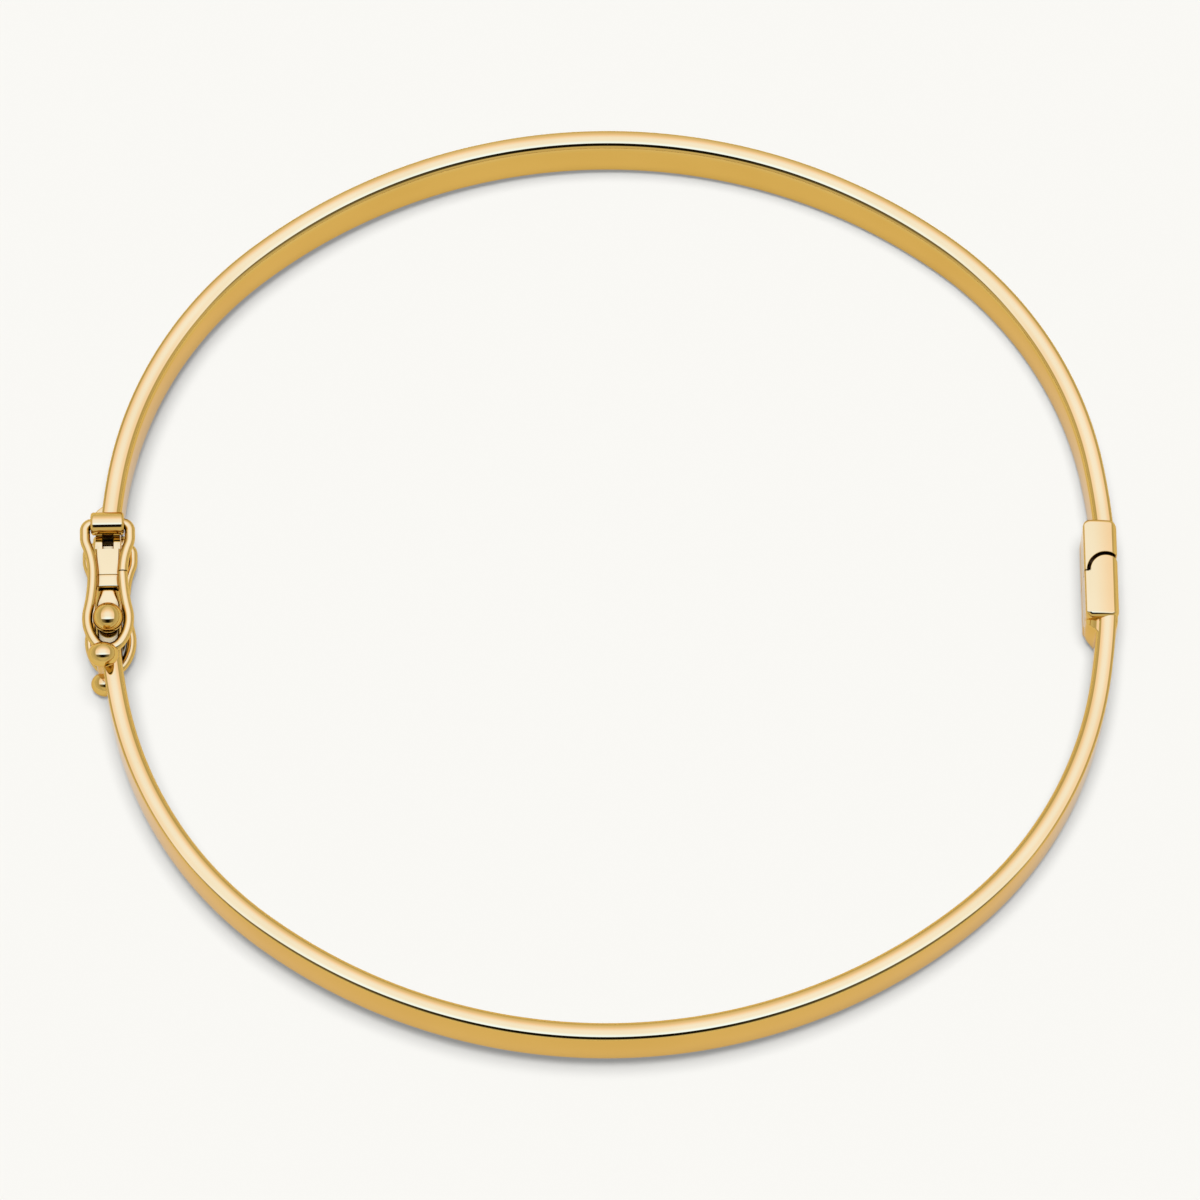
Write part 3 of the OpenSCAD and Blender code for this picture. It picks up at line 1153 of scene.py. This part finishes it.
    def tongue(self) -> Shell:
        """The tongue: a bar with eased edges and a rounded tip."""
        rings = []
        tip_y = self.tongue_reach - self.tongue_tip
        for y in spread((-self.tongue_root, 0), (tip_y, 6), (self.tongue_reach, 8)):
            past = min(max(y - tip_y, 0.0) / self.tongue_tip, 1.0)
            share = self.tongue_least + (1 - self.tongue_least) * math.sqrt(1 - past**2)
            half_z = self.tongue_half[1] - (1 - share) * self.tongue_tip
            section = Section(self.tongue_half[0] * share, half_z, self.tongue_edge * share)
            rings.append(self.ring(y, section))
        return Shell.stack(np.array(rings))

    def build(self, bench: Workbench) -> None:
        """Makes the clasp's pieces.

        Args:
            bench: Where pieces are made.
        """
        upper = Half.UPPER.body
        lower = Half.LOWER.body
        barrel = self.barrel()
        ball = self.ball()
        bench.piece("box_end", [self.box_end()], upper, [upper], sharp_deg=self.sharp_deg)
        bench.piece("tongue_end", [self.tongue_end()], lower, [lower], sharp_deg=self.sharp_deg)
        for rim in Rim:
            where = rim.name.lower()
            bench.piece(f"barrel_{where}", [barrel.on(rim)], upper, [upper])
            bench.piece(f"catch_ball_{where}", [ball.on(rim)], lower, [lower])
        bench.piece("tongue", [self.tongue()], lower, ["clasp_tongue"], SATIN)


def turned(along: np.ndarray, radius: np.ndarray, count: int, centre: np.ndarray) -> Shell:
    """A profile turned about an axis along X.

    The point at turn t of a ring lies at its radius times (cos t, sin t) in Y and Z.

    Args:
        along: Place of each ring on the axis.
        radius: Radius of each ring.
        count: Points in a ring.
        centre: Where 0 on the axis is.

    Returns:
        The turned shape, with a flat floor at each end.
    """
    turns = np.arange(count) * 2 * math.pi / count
    across = radius[:, None, None] * circle(turns)[None]
    axis = np.broadcast_to(along[:, None, None], across.shape[:2] + (1,))
    return Shell.stack(np.concatenate([axis, across], axis=-1) + centre)


def sphere(half: Sequence[float], centre: np.ndarray, rows: int = 40, count: int = 64) -> Shell:
    """A ball of its own half size on each axis: a half circle turned about X, then stretched."""
    turns = np.linspace(0, math.pi, rows + 1)[1:-1]
    ball = turned(-np.cos(turns), np.sin(turns), count, np.zeros(3))
    return ball.reshaped(ball.points * half + centre)


# The safety loops


@dataclass(frozen=True)
class SafetyLoop:
    """A figure-eight loop of round wire, drawn from its pivot with the tip towards -Y."""

    clasp: Clasp
    shoulder_half: float = 1.38
    shoulder_r: float = 1.2
    shoulder_y: float = 0.9
    waist_half: float = 0.93
    waist_y: float = 3.2
    lobe_half: float = 1.28
    tip_y: float = 8.0
    tip_r: float = 0.95
    bend_r: float = 0.45
    bead_half: tuple[float, float, float] = (0.95, 0.78, 0.85)
    bead_x: float = -0.3
    bead_y: float = 8.62
    bead_lift: float = 0.05
    seam_y: float = 3.12
    seam_gap: float = 0.03
    seam_slip: float = 0.035
    seam_run: float = 0.5
    end_sizes: tuple[float, float] = (0.8, 0.97)
    end_step: float = 0.02
    spacing: float = 0.06
    sides: int = 28
    arc_points: int = 40
    same_point: float = 1e-6

    def waist_radius(self, half: float, radius: float, step: float) -> float:
        """Radius of a waist arc.

        Its centre lies level with the waist, and the centres lie as far apart as the radii
        together, because the two arcs touch and bend opposite ways.

        Args:
            half: Half the spread at the arc that it touches.
            radius: Radius of that arc.
            step: Distance between the two centres along the loop.

        Returns:
            The radius.
        """
        reach = self.waist_half - half + radius
        return (reach**2 + step**2 - radius**2) / (2 * (half - self.waist_half))

    def strand(self) -> np.ndarray:
        """Middle line of the right strand, from the barrel's middle to the tip.

        Returns:
            An array of x and y.
        """
        lobe_y = self.clasp.pivot_y - self.clasp.ball_y
        tip_drop = self.tip_y - self.tip_r - lobe_y
        lobe_r = (self.lobe_half**2 + tip_drop**2 - self.tip_r**2) / (2 * (self.lobe_half - self.tip_r))
        lobe_x = self.lobe_half - lobe_r
        tip_turn = math.atan(tip_drop / -lobe_x)
        high_r = self.waist_radius(self.shoulder_half, self.shoulder_r, self.waist_y - self.shoulder_y)
        low_r = self.waist_radius(self.lobe_half, lobe_r, lobe_y - self.waist_y)
        high_x = self.waist_half + high_r
        low_x = self.waist_half + low_r
        shoulder_x = self.shoulder_half - self.shoulder_r
        high_turn = math.atan((self.waist_y - self.shoulder_y) / (high_x - shoulder_x))
        low_turn = math.atan((lobe_y - self.waist_y) / (low_x - lobe_x))
        quarter = math.pi / 2
        arcs = (
            (self.shoulder_half - self.bend_r, -self.bend_r, self.bend_r, quarter, 0.0),
            (shoulder_x, -self.shoulder_y, self.shoulder_r, 0.0, -high_turn),
            (high_x, -self.waist_y, high_r, math.pi - high_turn, math.pi),
            (low_x, -self.waist_y, low_r, math.pi, math.pi + low_turn),
            (lobe_x, -lobe_y, lobe_r, low_turn, -tip_turn),
            (0.0, self.tip_r - self.tip_y, self.tip_r, -tip_turn, -quarter),
        )
        parts = [np.array([[0.0, 0.0]])]
        for x, y, radius, first, last in arcs:
            turns = np.linspace(first, last, self.arc_points)
            parts.append([x, y] + radius * circle(turns))
        return np.vstack(parts)

    def wire(self) -> Shell:
        """The wire: a circle carried along both strands, from one side of its seam to the other.

        The outline is closed, so it is turned to start at the seam on the right strand, spread
        evenly and cut there. Each end is rounded off by two smaller circles, and the first end
        stands a little to the side of the other.

        Returns:
            The wire.
        """
        right = self.strand()
        line = np.vstack([right, (right[::-1] * [-1, 1])[1:-1]])
        to_next = np.linalg.norm(np.roll(line, -1, axis=0) - line, axis=1)
        line = line[to_next > self.same_point]
        on_left = line[:, 0] < 0
        seam = np.argmin(np.where(on_left, np.inf, np.abs(line[:, 1] + self.seam_y)))
        line = np.roll(line, -seam, axis=0)
        line = np.vstack([line, line[:1]])
        length = run_along(line)[-1]
        count = round(length / self.spacing)
        at = np.linspace(self.seam_gap / 2, length - self.seam_gap / 2, count)
        middle = at_runs(line, at)
        ahead = np.gradient(middle, axis=0)
        ahead /= np.linalg.norm(ahead, axis=1, keepdims=True)
        side = np.column_stack([ahead[:, 1], -ahead[:, 0]])
        radius = np.full(count, self.clasp.wire_r)
        radius[[0, -1]] *= self.end_sizes[0]
        radius[[1, -2]] *= self.end_sizes[1]
        inwards = ahead[[0, -1]] * np.array([[1], [-1]])
        middle[[1, -2]] = middle[[0, -1]] + self.end_step * inwards
        slip = self.seam_slip * np.exp(-at / self.seam_run)
        middle = middle + side * slip[:, None]
        turns = np.arange(self.sides) * 2 * math.pi / self.sides
        across = middle[:, None, :] + side[:, None, :] * (radius[:, None] * np.cos(turns))[..., None]
        height = radius[:, None] * np.sin(turns)
        return Shell.stack(np.concatenate([across, height[..., None]], axis=-1))

    def bead(self) -> Shell:
        """The finger bead at the tip, just clear of the band's rim."""
        lift = self.clasp.band.rim_z + self.bead_half[2] + self.bead_lift - self.clasp.loop_z
        return sphere(self.bead_half, np.array([self.bead_x, -self.bead_y, lift]))

    def build(self, bench: Workbench) -> None:
        """Makes the loop on each rim.

        Args:
            bench: Where pieces are made.
        """
        pivot = np.array([self.clasp.x, self.clasp.pivot_y, self.clasp.loop_z])
        for rim in Rim:
            where = rim.name.lower()
            for name, shell in (("loop_wire", self.wire()), ("finger_bead", self.bead())):
                placed = shell.reshaped(shell.points + pivot).on(rim)
                bench.piece(f"{name}_{where}", [placed], rim.loop, [rim.loop])


@dataclass(frozen=True)
class Bangle:
    """The whole bangle."""

    band: Band = field(default_factory=Band)
    overlap: float = 0.3

    def build(self) -> Rest:
        """Makes every piece on the frame.

        Returns:
            Where the bangle lies.
        """
        hinge = Hinge(self.band)
        clasp = Clasp(self.band)
        rest = Rest.from_joints(frame["joints"], hinge.pin_x)
        bench = Workbench(rest)
        ends = {Half.UPPER: clasp.box_length, Half.LOWER: clasp.tongue_end_length}
        for side in Half:
            starts = (hinge.lengths[side] - self.overlap, ends[side] - self.overlap)
            tube = self.band.half(side, *starts)
            bench.piece(f"band_{side.name.lower()}", [tube], side.body, [side.body])
        hinge.build(bench)
        clasp.build(bench)
        SafetyLoop(clasp).build(bench)
        pin = frame["nodes"]["hinge_pin"]
        pin.data.materials.clear()
        pin.data.materials.append(SATIN.material())
        LOG.info("hinge_pin: kept from the frame")
        return rest


# The room


@dataclass(frozen=True)
class Change:
    """A smooth change of the room's light between two angles from straight up."""

    low_deg: float
    high_deg: float
    amount: float


@dataclass(frozen=True)
class Studio:
    """Plain pale floor, a broad panel of light overhead and a camera above the floor.

    The gold mirrors the panel, and the floor is lit by a softer sun and a dim dome, so that its
    shadows stay close to the bangle.
    """

    floor_half: float = 2.0
    floor_tone: tuple[float, float, float] = (0.80, 0.7925, 0.764)
    room_light: float = 0.8
    gap: tuple[Change, ...] = (Change(-53.5, -50.5, -0.99), Change(-25.0, -22.5, 0.99))
    panel: tuple[Change, ...] = (
        Change(-25.0, -22.5, 1.35),
        Change(-22.0, 5.0, -0.42),
        Change(15.0, 65.0, -0.68),
        Change(60.0, 85.0, -0.25),
    )
    across: tuple[Change, ...] = (Change(8.0, 46.0, -0.35), Change(46.0, 54.0, -0.65))
    sides: tuple[Change, ...] = (Change(46.0, 54.0, -0.15), Change(60.0, 80.0, 0.15))
    red_most: float = 0.53
    blue_gain: float = 1.7
    least_rise: float = 0.0001
    dome_light: float = 0.36
    dome_deg: float = 150.0
    sun_light: float = 0.83
    sun_deg: float = 20.0
    tilt_deg: float = 17.3
    swing_deg: float = -2.5
    roll_deg: float = 0.96
    distance_mm: float = 698.0
    scale_px: float = 16.2
    picture_px: int = 1200
    middle_px: tuple[float, float] = (607.1, 590.2)
    sensor_mm: float = 36.0
    clip_m: tuple[float, float] = (0.05, 20.0)

    def floor(self) -> None:
        """The floor: one pale square at the height that the bangle rests on."""
        half = self.floor_half
        corners = [(-half, -half, 0.0), (half, -half, 0.0), (half, half, 0.0), (-half, half, 0.0)]
        mesh = bpy.data.meshes.new("floor")
        mesh.from_pydata(corners, [], [(0, 1, 2, 3)])
        material = bpy.data.materials.new("pale_paper")
        shader = Shader.cleared(material)
        inputs = {"Base Color": (*self.floor_tone, 1.0), "Roughness": 1.0, "Specular IOR Level": 0.0}
        surface = shader.node("ShaderNodeBsdfPrincipled", {}, inputs)
        shader.node("ShaderNodeOutputMaterial", {}, {"Surface": surface})
        mesh.materials.append(material)
        made = added("floor", mesh)

    def light(self) -> None:
        """The world that the gold mirrors, and the dome and sun that light the floor.

        A direction's two angles from straight up, towards +X and towards +Y, say whether it
        meets the panel, whose light fades towards +Y and to both sides, or the dark gap before
        it. The panel is the cooler the brighter it is.
        """
        world = bpy.data.worlds.new("studio")
        bpy.context.scene.world = world
        shader = Shader.cleared(world)
        way = shader.node("ShaderNodeTexCoord", output="Generated")
        x, y, z = (shader.node("ShaderNodeSeparateXYZ", {}, {0: way}, axis) for axis in "XYZ")
        high = z.math("MAXIMUM", self.least_rise)
        to_side = x.math("ABSOLUTE").math("ARCTAN2", high) * math.degrees(1.0)
        to_far = y.math("ARCTAN2", high) * math.degrees(1.0)
        across = self.changed(to_side, self.across) + 1.0
        panel = self.changed(to_far, self.panel) * across
        open_part = self.changed(to_far, self.gap) * across + 1.0
        room = self.changed(to_side, self.sides) + self.room_light
        red = (panel.math("MINIMUM", self.red_most) + room) * open_part
        green = (panel + room) * open_part
        blue = green * (panel * self.blue_gain + 1.0)
        colour = shader.node("ShaderNodeCombineColor", {}, {0: red, 1: green, 2: blue})
        back = shader.node("ShaderNodeBackground", {}, {"Color": colour, "Strength": 1.0})
        shader.node("ShaderNodeOutputWorld", {}, {"Surface": back})
        world.cycles_visibility.diffuse = False
        self.lamp("overhead", self.sun_deg, self.sun_light)
        self.lamp("dome", self.dome_deg, self.dome_light)

    @staticmethod
    def lamp(name: str, spread_deg: float, tone: float) -> None:
        """A sun straight overhead that lights the floor alone.

        Args:
            name: The lamp's name.
            spread_deg: Angle across the sun.
            tone: How bright a white floor looks under it alone.
        """
        lamp = bpy.data.lights.new(name, "SUN")
        lamp.energy = tone * math.pi
        lamp.angle = math.radians(spread_deg)
        made = added(name, lamp)
        made.location = (0.0, 0.0, 1.0)
        made.visible_glossy = False

    @staticmethod
    def changed(angle: Socket, changes: Sequence[Change]) -> Socket:
        """Sum of smooth changes up to an angle."""
        steps = [angle.ramp(step.low_deg, step.high_deg) * step.amount for step in changes]
        return sum(steps[1:], start=steps[0])

    def camera(self, rest: Rest) -> None:
        """The camera, placed by its angle to the plane of the band.

        The direction to the camera is tilted from the band's axis towards -Y and swung a little
        to -X. The picture's right is the band's X as seen, turned back by the roll, and the
        aim is moved so that the middle of the band falls on its pixel.

        Args:
            rest: Where the band lies.
        """
        tilt = math.radians(self.tilt_deg)
        swing = math.radians(self.swing_deg)
        roll = math.radians(self.roll_deg)
        towards = np.array([
            math.sin(tilt) * math.sin(swing),
            -math.sin(tilt) * math.cos(swing),
            math.cos(tilt),
        ])
        seen_x = unit(np.array([1.0, 0, 0]) - towards[0] * towards)
        seen_y = np.cross(towards, seen_x)
        right = math.cos(roll) * seen_x - math.sin(roll) * seen_y
        up = np.cross(towards, right)
        centre = self.picture_px / 2
        aim = -right * (self.middle_px[0] - centre) / self.scale_px
        aim = aim + up * (self.middle_px[1] - centre) / self.scale_px
        place = rest.lay((aim + towards * self.distance_mm)[None])[0]
        axes = rest.turn @ np.column_stack([right, up, towards])
        matrix = Matrix(axes.tolist()).to_4x4()
        matrix.translation = Vector(place.tolist())
        data = bpy.data.cameras.new("camera")
        data.sensor_width = self.sensor_mm
        data.lens = self.sensor_mm * self.scale_px * self.distance_mm / self.picture_px
        data.clip_start, data.clip_end = self.clip_m
        made = added("camera", data)
        made.matrix_world = matrix
        bpy.context.scene.camera = made

    def build(self, rest: Rest) -> None:
        """Makes the floor, the light and the camera.

        Args:
            rest: Where the band lies.
        """
        self.floor()
        self.light()
        self.camera(rest)
        view = bpy.context.scene.view_settings
        view.view_transform = "Standard"
        view.look = "None"


def main() -> None:
    """Builds the bangle and the studio, and reports each piece."""
    logging.basicConfig(level=logging.INFO, format="%(name)s: %(message)s")
    rest = Bangle().build()
    Studio().build(rest)


if __name__ == "__main__":
    main()
